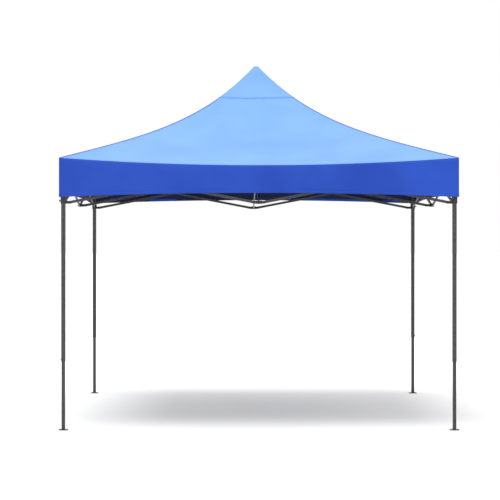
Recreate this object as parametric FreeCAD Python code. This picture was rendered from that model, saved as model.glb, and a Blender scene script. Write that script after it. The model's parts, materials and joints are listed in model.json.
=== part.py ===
"""Pop up gazebo: scissor frame on four telescopic legs, with a four-panel canopy and valance."""
import FreeCAD, Part
import math
import os

V = FreeCAD.Vector
LEG = 1445.0            # leg centre from the middle, along X and Y
Z_HIGH = 1945.0         # upper pivots
Z_LOW = 1682.0          # lower pivots
LEG_OFF = 45.0          # pivot to leg centre
MID_OFF = 33.0          # pivot to mid connector centre
HUB_OFF = 39.0          # pivot to hub centre
BAR_W, BAR_T = 20.0, 10.0
LANE = 6.0              # each scissor bar's offset from the leg plane
TUBE, WALL = 30.0, 1.5
INNER = 25.0
TUBE_LOW, TUBE_TOP = 505.0, 1985.0
INNER_TOP = 905.0
BUTTON_Z, BUTTON_R = 522.0, 4.0
RETRACT = 450.0
HALF, Z_EAVE, Z_PEAK, Z_HEM = 1475.0, 2010.0, 2840.0, 1720.0
SKIN = 0.8
END_X = LEG - LEG_OFF
EAVE_SAG = 55.0


def box(x0, x1, y0, y1, z0, z1):
    return Part.makeBox(x1 - x0, y1 - y0, z1 - z0, V(x0, y0, z0))


def save(name, shape, side=0):
    solid = shape.copy()
    solid.rotate(V(0, 0, 0), V(0, 0, 1), 90 * side)
    solid.exportStep("parts/%s.step" % name)


def bar(p, q, y):
    """Round-ended flat bar between two pivots in the XZ plane, with a bolt hole at each end and mid-way."""
    length = math.hypot(q[0] - p[0], q[1] - p[1])
    body = box(0, length, y - BAR_T / 2, y + BAR_T / 2, -BAR_W / 2, BAR_W / 2)
    for x in (0, length):
        body = body.fuse(Part.makeCylinder(BAR_W / 2, BAR_T, V(x, y - BAR_T / 2, 0), V(0, 1, 0)))
    for x in (0, length / 2, length):
        body = body.cut(Part.makeCylinder(3.1, BAR_T + 2, V(x, y - BAR_T / 2 - 1, 0), V(0, 1, 0)))
    angle = -math.degrees(math.atan2(q[1] - p[1], q[0] - p[0]))
    body = body.removeSplitter()
    body.rotate(V(0, 0, 0), V(0, 1, 0), angle)
    body.translate(V(p[0], 0, p[1]))
    return body


def fork(x_root, x_pin, y, z):
    """Clevis cheeks from a connector at x_root to the pivot at x_pin, and the bolt through them."""
    tip = x_pin + math.copysign(11, x_pin - x_root)
    low, high = min(x_root, tip), max(x_root, tip)
    cheeks = box(low, high, y - 9.5, y - 5.5, z - 10, z + 10)
    cheeks = cheeks.fuse(box(low, high, y + 5.5, y + 9.5, z - 10, z + 10))
    cheeks = cheeks.cut(Part.makeCylinder(3.0, 30, V(x_pin, y - 15, z), V(0, 1, 0)))
    bolt = Part.makeCylinder(3.0, 19, V(x_pin, y - 9.5, z), V(0, 1, 0))
    for y_head in (y - 12.5, y + 9.5):
        bolt = bolt.fuse(Part.makeCylinder(5.0, 3, V(x_pin, y_head, z), V(0, 1, 0)))
    return cheeks, bolt.removeSplitter()


def connector(core, forks):
    """Moulded core with its clevis cheeks, and the bolts as separate solids."""
    bolts = []
    for place, turn in forks:
        cheeks, bolt = fork(*place)
        for piece in (cheeks, bolt):
            piece.rotate(V(0, 0, 0), V(0, 0, 1), turn)
        core = core.fuse(cheeks)
        bolts.append(bolt)
    return Part.makeCompound([core.removeSplitter()] + bolts)


def at_leg(shape):
    moved = shape.copy()
    moved.translate(V(LEG, -LEG, 0))
    return moved


def polyhedron(faces):
    shell = Part.Shell([Part.Face(Part.makePolygon(f + [f[0]])) for f in faces])
    solid = Part.Solid(shell)
    if solid.Volume < 0:
        solid.reverse()
    return solid


def hip_z(r):
    s = 1 - r / HALF
    return Z_EAVE + 470 * s + (Z_PEAK - Z_EAVE - 470) * s ** 3.5


def canopy_panel():
    """Front panel: a triangle that falls from the peak in a curve, and the valance below its eave."""
    rows = []
    for r in (12, 150, 320, 520, 760, 1010, 1250, HALF - 0.5):
        mid = hip_z(r) - EAVE_SAG * (r / HALF) ** 1.2
        rows.append([V(-r, -r, hip_z(r)), V(0, -r, mid), V(r, -r, hip_z(r))])
    rows.append([V(1 - HALF, 0.5 - HALF, Z_HEM), V(0, 0.5 - HALF, Z_HEM + 30), V(HALF - 1, 0.5 - HALF, Z_HEM)])
    inward = []
    for number, row in enumerate(rows):
        shift = V(0, SKIN, 0) if number == len(rows) - 1 else V(0, SKIN, -SKIN)
        inward.append([p + shift + V(-math.copysign(SKIN, p.x) if p.x else 0, 0, 0) for p in row])
    faces = []
    for a, b, skin in [(a, b, 0) for a, b in zip(rows, rows[1:])] + [
            (a, b, 1) for a, b in zip(inward, inward[1:])]:
        for i in (0, 1):
            faces.append([a[i], a[i + 1], b[i]])
            faces.append([a[i + 1], b[i + 1], b[i]])
    for outer, inner in ((rows[0], inward[0]), (rows[-1], inward[-1])):
        for i in (0, 1):
            faces.append([outer[i], outer[i + 1], inner[i]])
            faces.append([outer[i + 1], inner[i + 1], inner[i]])
    for (a, b), (c, d) in zip(zip(rows, rows[1:]), zip(inward, inward[1:])):
        for i in (0, 2):
            faces.append([a[i], b[i], c[i]])
            faces.append([b[i], d[i], c[i]])
    return polyhedron(faces)


def outer_leg():
    t = TUBE / 2
    hole = t - WALL
    body = box(-t, t, -t, t, TUBE_LOW, TUBE_TOP).cut(box(-hole, hole, -hole, hole, 0, Z_PEAK))
    return body.cut(Part.makeCylinder(BUTTON_R + 0.1, 10, V(0, -t - 4, BUTTON_Z), V(0, 1, 0)))


def inner_leg():
    t = INNER / 2
    hole = t - WALL
    body = box(-t, t, -t, t, 4, INNER_TOP).cut(box(-hole, hole, -hole, hole, 0, Z_PEAK))
    for z in (BUTTON_Z, BUTTON_Z - RETRACT):
        body = body.cut(Part.makeCylinder(BUTTON_R + 0.5, 8, V(0, -t - 4, z), V(0, 1, 0)))
    plate = box(-33, 33, -33, 33, 0, 4)
    plate = plate.cut(Part.makeCylinder(5.5, 4, V(24, -24, 0)))
    return Part.makeCompound([body, plate])


def button():
    inside = -INNER / 2 - 0.3
    pin = Part.makeCylinder(BUTTON_R, 9.2, V(0, inside - 9.2, BUTTON_Z), V(0, 1, 0))
    return pin.removeSplitter()


def leg_bracket():
    core = box(-19, 19, -19, 19, 1905, 2003)
    core = core.cut(box(-15, 15, -15, 15, 1900, TUBE_TOP))
    return connector(core, [((-19, -LEG_OFF, -LANE, Z_HIGH), 0), ((19, LEG_OFF, -LANE, Z_HIGH), 90)])


def slider():
    core = box(-19, 19, -19, 19, Z_LOW - 10, Z_LOW + 50)
    core = core.cut(box(-15.4, 15.4, -15.4, 15.4, 1600, 1800))
    core = core.cut(Part.makeCylinder(3.6, 8, V(0, -22, Z_LOW + 12), V(0, 1, 0)))
    return connector(core, [((-19, -LEG_OFF, LANE, Z_LOW), 0), ((19, LEG_OFF, LANE, Z_LOW), 90)])


def latch():
    pin = Part.makeCylinder(3.5, 9.7, V(0, -25, Z_LOW + 12), V(0, 1, 0))
    return pin.fuse(Part.makeCylinder(8, 6, V(0, -31, Z_LOW + 12), V(0, 1, 0))).removeSplitter()


os.makedirs("parts", exist_ok=True)
core = Part.makeCylinder(24, 50, V(0, 0, Z_HIGH - 20))
hub = connector(core, [((15, HUB_OFF, 0, Z_HIGH), turn) for turn in (0, 90, 180, 270)])
save("centre_hub", hub)
pole = Part.makeCylinder(12.5, 760, V(0, 0, Z_HIGH + 30))
save("peak_pole", pole.cut(Part.makeCylinder(11, 760, V(0, 0, Z_HIGH + 30))))
cap = Part.makeCylinder(16, 30, V(0, 0, Z_HIGH + 790))
save("peak_cap", cap.fuse(Part.makeSphere(16, V(0, 0, Z_HIGH + 820))))

for side in range(4):
    strut = bar((HUB_OFF, Z_HIGH), (LEG - HUB_OFF, Z_LOW), 0)
    strut.rotate(V(0, 0, 0), V(0, 0, 1), -90)
    save("inner_strut_%d" % side, strut, side)
    low = box(-22, 22, -16, 14, Z_LOW - 12, Z_LOW + 12)
    low = connector(low, [((20, MID_OFF, -LANE, Z_LOW), 0), ((-20, -MID_OFF, -LANE, Z_LOW), 0),
                          ((12, HUB_OFF, 0, Z_LOW), 90)])
    low.translate(V(0, -LEG, 0))
    save("lower_mid_connector_%d" % side, low, side)
    high = box(-20, 20, -6, 16, Z_HIGH - 12, Z_HIGH + 12)
    high = connector(high, [((18, MID_OFF, LANE, Z_HIGH), 0), ((-18, -MID_OFF, LANE, Z_HIGH), 0)])
    high.translate(V(0, -LEG, 0))
    save("upper_mid_connector_%d" % side, high, side)
    for letter, sign in (("a", -1), ("b", 1)):
        rising = bar((sign * MID_OFF, Z_LOW), (sign * END_X, Z_HIGH), -LANE)
        mid = (sign * (MID_OFF + END_X) / 2, (Z_LOW + Z_HIGH) / 2)
        rivet = Part.makeCylinder(3.05, 24, V(mid[0], -12, mid[1]), V(0, 1, 0))
        rising = Part.makeCompound([rising, rivet])
        falling = bar((sign * MID_OFF, Z_HIGH), (sign * END_X, Z_LOW), LANE)
        for name, piece in (("rising_bar", rising), ("falling_bar", falling)):
            piece.translate(V(0, -LEG, 0))
            save("%s_%d%s" % (name, side, letter), piece, side)
    save("outer_leg_%d" % side, at_leg(outer_leg()), side)
    save("inner_leg_%d" % side, at_leg(inner_leg()), side)
    save("leg_button_%d" % side, at_leg(button()), side)
    save("corner_bracket_%d" % side, at_leg(leg_bracket()), side)
    save("slider_%d" % side, at_leg(slider()), side)
    save("slider_latch_%d" % side, at_leg(latch()), side)
    save("canopy_panel_%d" % side, canopy_panel(), side)
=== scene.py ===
import json
import math

import bpy
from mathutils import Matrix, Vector, noise


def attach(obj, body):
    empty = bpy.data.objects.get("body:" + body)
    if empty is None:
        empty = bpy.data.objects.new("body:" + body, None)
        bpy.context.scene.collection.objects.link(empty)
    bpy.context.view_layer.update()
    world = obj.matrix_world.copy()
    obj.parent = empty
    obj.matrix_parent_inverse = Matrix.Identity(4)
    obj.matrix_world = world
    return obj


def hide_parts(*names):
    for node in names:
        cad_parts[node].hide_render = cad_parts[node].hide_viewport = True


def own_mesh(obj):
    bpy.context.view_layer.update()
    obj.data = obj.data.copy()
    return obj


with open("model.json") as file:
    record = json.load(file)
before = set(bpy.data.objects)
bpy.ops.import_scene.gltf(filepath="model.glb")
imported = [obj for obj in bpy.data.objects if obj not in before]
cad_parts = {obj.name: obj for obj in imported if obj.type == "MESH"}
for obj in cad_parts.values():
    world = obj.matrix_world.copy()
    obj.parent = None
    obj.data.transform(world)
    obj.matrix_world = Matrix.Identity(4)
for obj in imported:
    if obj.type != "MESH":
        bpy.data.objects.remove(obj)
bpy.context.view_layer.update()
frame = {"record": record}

HALF, Z_EAVE, Z_PEAK = 1.475, 2.010, 2.840     # canopy half-width, eave corner height, peak height
Z_HEM_CORNER, HEM_RISE = 1.720, 0.030
EAVE_SAG = 0.055                               # how far an eave's middle hangs below its corners
SEAM_HALF = 0.007                              # half the width of a bound seam
SIDES = 4
R_TOP = 0.012                                  # the roof's small square opening at the peak
ROOF_STEEP = 0.47                              # how far the straight part of a hip climbs
CLOTH = 0.0008                                 # thickness of the coated polyester
BINDING_THICK, PATCH_THICK = 0.0012, 0.001
PATCH_REACH = 0.29                             # how far the peak patch reaches down the roof
HEM_HALF = 0.010                               # half the width of the hem's band
EYE = (-0.21, -14.07, 1.466)                   # the camera stands this far off, at chest height
LENS, SENSOR = 123, 36                         # millimetres
SHIFT_X, SHIFT_Y = 0.039, -0.037


def side_vectors(side):
    """Outward and sideways directions of one side of the gazebo."""
    outward = [Vector((0, -1, 0)), Vector((1, 0, 0)), Vector((0, 1, 0)), Vector((-1, 0, 0))][side]
    return outward, Vector((-outward.y, outward.x, 0))


def hip_z(r):
    """Height of the hip seams at distance r: steep at the peak, easing towards the eave corner."""
    s = 1 - r / HALF
    return Z_EAVE + ROOF_STEEP * s + (Z_PEAK - Z_EAVE - ROOF_STEEP) * s ** 3.5


def roof_z(r, t):
    """Height of the roof at distance r from the middle and t along the side, sagging between the hips."""
    sag = EAVE_SAG * (r / HALF) ** 1.2
    if r < 1e-6:
        return hip_z(0)
    return hip_z(r) - sag * (1 - (t / r) ** 2)


def ripple(r, t, side):
    """Soft unevenness of the stretched cloth, none at the hips, the peak and the eave."""
    edge = max(0.0, 1 - (t / max(r, 1e-6)) ** 2) * math.sin(math.pi * r / HALF)
    wave = noise.noise(Vector((t * 1.7, r * 2.3, side * 7.1)))
    folds = noise.noise(Vector((t * 7 / max(r, 0.2), r * 1.1, 3 + side * 5.3)))
    return edge * (0.007 * wave + 0.006 * folds)


def mesh_object(name, points, faces, body, material):
    mesh = bpy.data.meshes.new(name)
    mesh.from_pydata(points, [], faces)
    mesh.update()
    piece = bpy.data.objects.new(name, mesh)
    bpy.context.scene.collection.objects.link(piece)
    mesh.materials.append(material)
    for polygon in mesh.polygons:
        polygon.use_smooth = True
    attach(piece, body)
    return piece


def grid_faces(rows, columns):
    return [(a * columns + b, (a + 1) * columns + b, (a + 1) * columns + b + 1, a * columns + b + 1)
            for a in range(rows - 1) for b in range(columns - 1)]


def thicken(piece, amount, inner_shade=None):
    """Give a sheet its thickness, with the painted-shade material, when one is given, on its inner face."""
    solid = piece.modifiers.new("cloth_thickness", "SOLIDIFY")
    solid.thickness = amount
    solid.offset = -1
    if inner_shade:
        piece.data.materials.append(inner_shade)
        solid.material_offset = 1
        solid.material_offset_rim = 0


def nodes_of(name):
    """A new material, its node tree and its main shader."""
    material = bpy.data.materials.new(name)
    material.use_nodes = True
    tree = material.node_tree
    return material, tree, tree.nodes["Principled BSDF"]


def add_bump(tree, shader, height, strength, distance):
    bump = tree.nodes.new("ShaderNodeBump")
    bump.inputs["Strength"].default_value = strength
    bump.inputs["Distance"].default_value = distance
    tree.links.new(height, bump.inputs["Height"])
    tree.links.new(bump.outputs["Normal"], shader.inputs["Normal"])


def noise_colour(tree, shader, dark, light, scale, detail=6):
    """Colour that drifts between two near shades, and the noise it came from."""
    place = tree.nodes.new("ShaderNodeTexCoord")
    cloud = tree.nodes.new("ShaderNodeTexNoise")
    cloud.inputs["Scale"].default_value = scale
    cloud.inputs["Detail"].default_value = detail
    tree.links.new(place.outputs["Object"], cloud.inputs["Vector"])
    ramp = tree.nodes.new("ShaderNodeValToRGB")
    ramp.color_ramp.elements[0].position = 0.3
    ramp.color_ramp.elements[1].position = 0.7
    ramp.color_ramp.elements[0].color = (*dark, 1)
    ramp.color_ramp.elements[1].color = (*light, 1)
    tree.links.new(cloud.outputs["Fac"], ramp.inputs["Fac"])
    tree.links.new(ramp.outputs["Color"], shader.inputs["Base Color"])
    return place, cloud


def cloth_material(name, dark, light):
    """Coated woven polyester: crossed fine threads, drifting shade and a soft sheen."""
    material, tree, shader = nodes_of(name)
    place, _ = noise_colour(tree, shader, dark, light, 2.4)
    heights = []
    for axis in ("X", "Y", "Z"):
        thread = tree.nodes.new("ShaderNodeTexWave")
        thread.bands_direction = axis
        thread.inputs["Scale"].default_value = 260
        thread.inputs["Distortion"].default_value = 0.6
        tree.links.new(place.outputs["Object"], thread.inputs["Vector"])
        heights.append(thread.outputs["Fac"])
    weave = heights[0]
    for height in heights[1:]:
        mix = tree.nodes.new("ShaderNodeMath")
        mix.operation = "MAXIMUM"
        tree.links.new(weave, mix.inputs[0])
        tree.links.new(height, mix.inputs[1])
        weave = mix.outputs[0]
    add_bump(tree, shader, weave, 0.12, 0.0006)
    shader.inputs["Roughness"].default_value = 0.62
    shader.inputs["Specular IOR Level"].default_value = 0.2
    shader.inputs["Sheen Weight"].default_value = 0.06
    return material


def coat_material(name, dark, light, scale, rough, metallic, bump):
    """Powder coat or moulded nylon: a fine orange-peel surface with slight wear in its shade."""
    material, tree, shader = nodes_of(name)
    _, cloud = noise_colour(tree, shader, dark, light, scale)
    add_bump(tree, shader, cloud.outputs["Fac"], bump, 0.001)
    shader.inputs["Roughness"].default_value = rough
    shader.inputs["Metallic"].default_value = metallic
    return material


# The roof and the valance are the same fabric: the roof's paler, brighter blue is painted highlight, the
# glancing sheen off the roof baked into its colour.
ROOF_PAINTED_HIGHLIGHT = cloth_material("roof_polyester_painted_highlight", (0.155, 0.33, 0.87), (0.19, 0.385, 0.95))
VALANCE = cloth_material("valance_polyester", (0.011, 0.052, 0.38), (0.017, 0.072, 0.46))
# Near-black inner face of the cloth: painted shade for the underside of the canopy.
INNER_PAINTED_SHADE = cloth_material("inner_face_painted_shade", (0.008, 0.014, 0.06), (0.012, 0.020, 0.08))
BINDING = cloth_material("seam_binding", (0.025, 0.09, 0.42), (0.035, 0.12, 0.50))
STEEL = coat_material("grey_powder_coat", (0.034, 0.033, 0.033), (0.075, 0.073, 0.073), 90, 0.42, 0.4, 0.25)
NYLON = coat_material("black_nylon", (0.010, 0.010, 0.011), (0.022, 0.022, 0.024), 220, 0.5, 0.0, 0.3)

for slot_row in frame["record"]["subparts"]:
    node = slot_row["node"]
    finish = {"grey_steel": STEEL, "black_nylon": NYLON}.get(slot_row["material_slot"], ROOF_PAINTED_HIGHLIGHT)
    cad = bpy.data.objects[node]
    if not cad.data.materials:
        cad.data.materials.append(finish)
    for index in range(len(cad.data.materials)):
        cad.data.materials[index] = finish


def ride_and_flatten(piece):
    """Give the piece its own copy of its mesh."""
    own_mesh(piece)


def roof_panel(side):
    """One triangle of the roof, from the peak to an eave, as a stretched curved sheet."""
    outward, along = side_vectors(side)
    rows, columns = 60, 49
    points = []
    for i in range(rows):
        r = R_TOP + (HALF - R_TOP) * i / (rows - 1)
        for j in range(columns):
            t = r * (2 * j / (columns - 1) - 1)
            flat = outward * r + along * t
            points.append((flat.x, flat.y, roof_z(r, t) + ripple(r, t, side)))
    name = "roof_panel_%d" % side
    piece = mesh_object(name, points, grid_faces(rows, columns), "panel_%d" % side, ROOF_PAINTED_HIGHLIGHT)
    thicken(piece, CLOTH, INNER_PAINTED_SHADE)
    return piece


def valance_panel(side):
    """The strip that hangs from an eave, with gentle waves that grow towards its hem."""
    outward, along = side_vectors(side)
    rows, columns = 14, 121
    points = []
    for i in range(rows):
        down = i / (rows - 1)
        for j in range(columns):
            u = 2 * j / (columns - 1) - 1
            top = roof_z(HALF, u * HALF)
            hem = Z_HEM_CORNER + HEM_RISE * (1 - u * u)
            wave = 0.006 * noise.noise(Vector((u * 5, down * 1.5, side * 3.7))) * down * (1 - u ** 6)
            flat = outward * (HALF + wave) + along * (u * HALF)
            points.append((flat.x, flat.y, top + (hem - top) * down))
    name = "valance_%d" % side
    piece = mesh_object(name, points, grid_faces(rows, columns), "panel_%d" % side, VALANCE)
    thicken(piece, CLOTH, INNER_PAINTED_SHADE)
    return piece


def strip(name, side, path, width, material, count=60):
    """A narrow sewn band along path, which gives a point and a sideways direction for 0 to 1."""
    points = []
    for i in range(count):
        centre, across = path(i / (count - 1))
        for share in (-1, -0.4, 0.4, 1):
            rise = 0.0025 if abs(share) < 1 else 0.0008
            spot = centre + across * share * width + Vector((0, 0, rise))
            points.append(tuple(spot))
    piece = mesh_object(name, points, grid_faces(count, 4), "panel_%d" % side, material)
    thicken(piece, BINDING_THICK)
    return piece


def hip_binding(side):
    """The bound seam where two roof panels meet."""
    outward, along = side_vectors(side)

    def path(share):
        r = 0.02 + (HALF - 0.022) * share
        return (outward + along) * (r - 0.004) + Vector((0, 0, hip_z(r))), (along - outward).normalized()
    return strip("hip_binding_%d" % side, side, path, SEAM_HALF, BINDING)


def hem_band(side):
    """The doubled hem along the valance's lower edge."""
    outward, along = side_vectors(side)

    def path(share):
        u = 2 * share - 1
        z = Z_HEM_CORNER + HEM_RISE * (1 - u * u) + 0.012
        return outward * (HALF + 0.0015) + along * (u * HALF * 0.998) + Vector((0, 0, z)), Vector((0, 0, 1))
    return strip("hem_%d" % side, side, path, HEM_HALF, VALANCE)


def peak_patch(side):
    """The reinforcing layer sewn over the peak, whose lower edge shows as a fine line."""
    outward, along = side_vectors(side)
    rows, columns = 14, 17
    points = []
    for i in range(rows):
        r = R_TOP + 0.002 + PATCH_REACH * i / (rows - 1)
        for j in range(columns):
            t = r * (2 * j / (columns - 1) - 1)
            flat = outward * r + along * t
            points.append((flat.x, flat.y, roof_z(r, t) + ripple(r, t, side) + 0.002))
    name = "peak_patch_%d" % side
    piece = mesh_object(name, points, grid_faces(rows, columns), "panel_%d" % side, ROOF_PAINTED_HIGHLIGHT)
    thicken(piece, PATCH_THICK)
    return piece


for side in range(SIDES):
    roof, valance = roof_panel(side), valance_panel(side)
    trims = [hip_binding(side), hem_band(side), peak_patch(side)]
    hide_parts("canopy_panel_%d" % side)
    for piece in [roof, valance] + trims:
        ride_and_flatten(piece)


def studio():
    bpy.ops.mesh.primitive_plane_add(size=200, location=(0, 0, -0.001))
    floor = bpy.context.object
    material, tree, shader = nodes_of("pale_floor")
    noise_colour(tree, shader, (0.93, 0.93, 0.93), (0.96, 0.96, 0.96), 0.5)
    shader.inputs["Roughness"].default_value = 0.9
    floor.data.materials.append(material)
    world = bpy.data.worlds.new("white_studio")
    world.use_nodes = True
    world.node_tree.nodes["Background"].inputs["Color"].default_value = (1, 1, 1, 1)
    world.node_tree.nodes["Background"].inputs["Strength"].default_value = 1.0
    bpy.context.scene.world = world
    lamp = bpy.data.lights.new("overhead", "SUN")
    lamp.energy = 1.6
    lamp.angle = 0.6
    light = bpy.data.objects.new("overhead", lamp)
    light.rotation_euler = (math.radians(12), math.radians(-8), 0)
    bpy.context.scene.collection.objects.link(light)
    bpy.context.scene.view_settings.view_transform = "Standard"


def camera():
    data = bpy.data.cameras.new("camera")
    data.lens = LENS
    data.sensor_width = SENSOR
    data.shift_y = SHIFT_Y
    data.shift_x = SHIFT_X
    data.clip_end = 300
    eye = bpy.data.objects.new("camera", data)
    eye.location = EYE
    eye.rotation_euler = (math.radians(90), 0, 0)
    bpy.context.scene.collection.objects.link(eye)
    bpy.context.scene.camera = eye


studio()
camera()
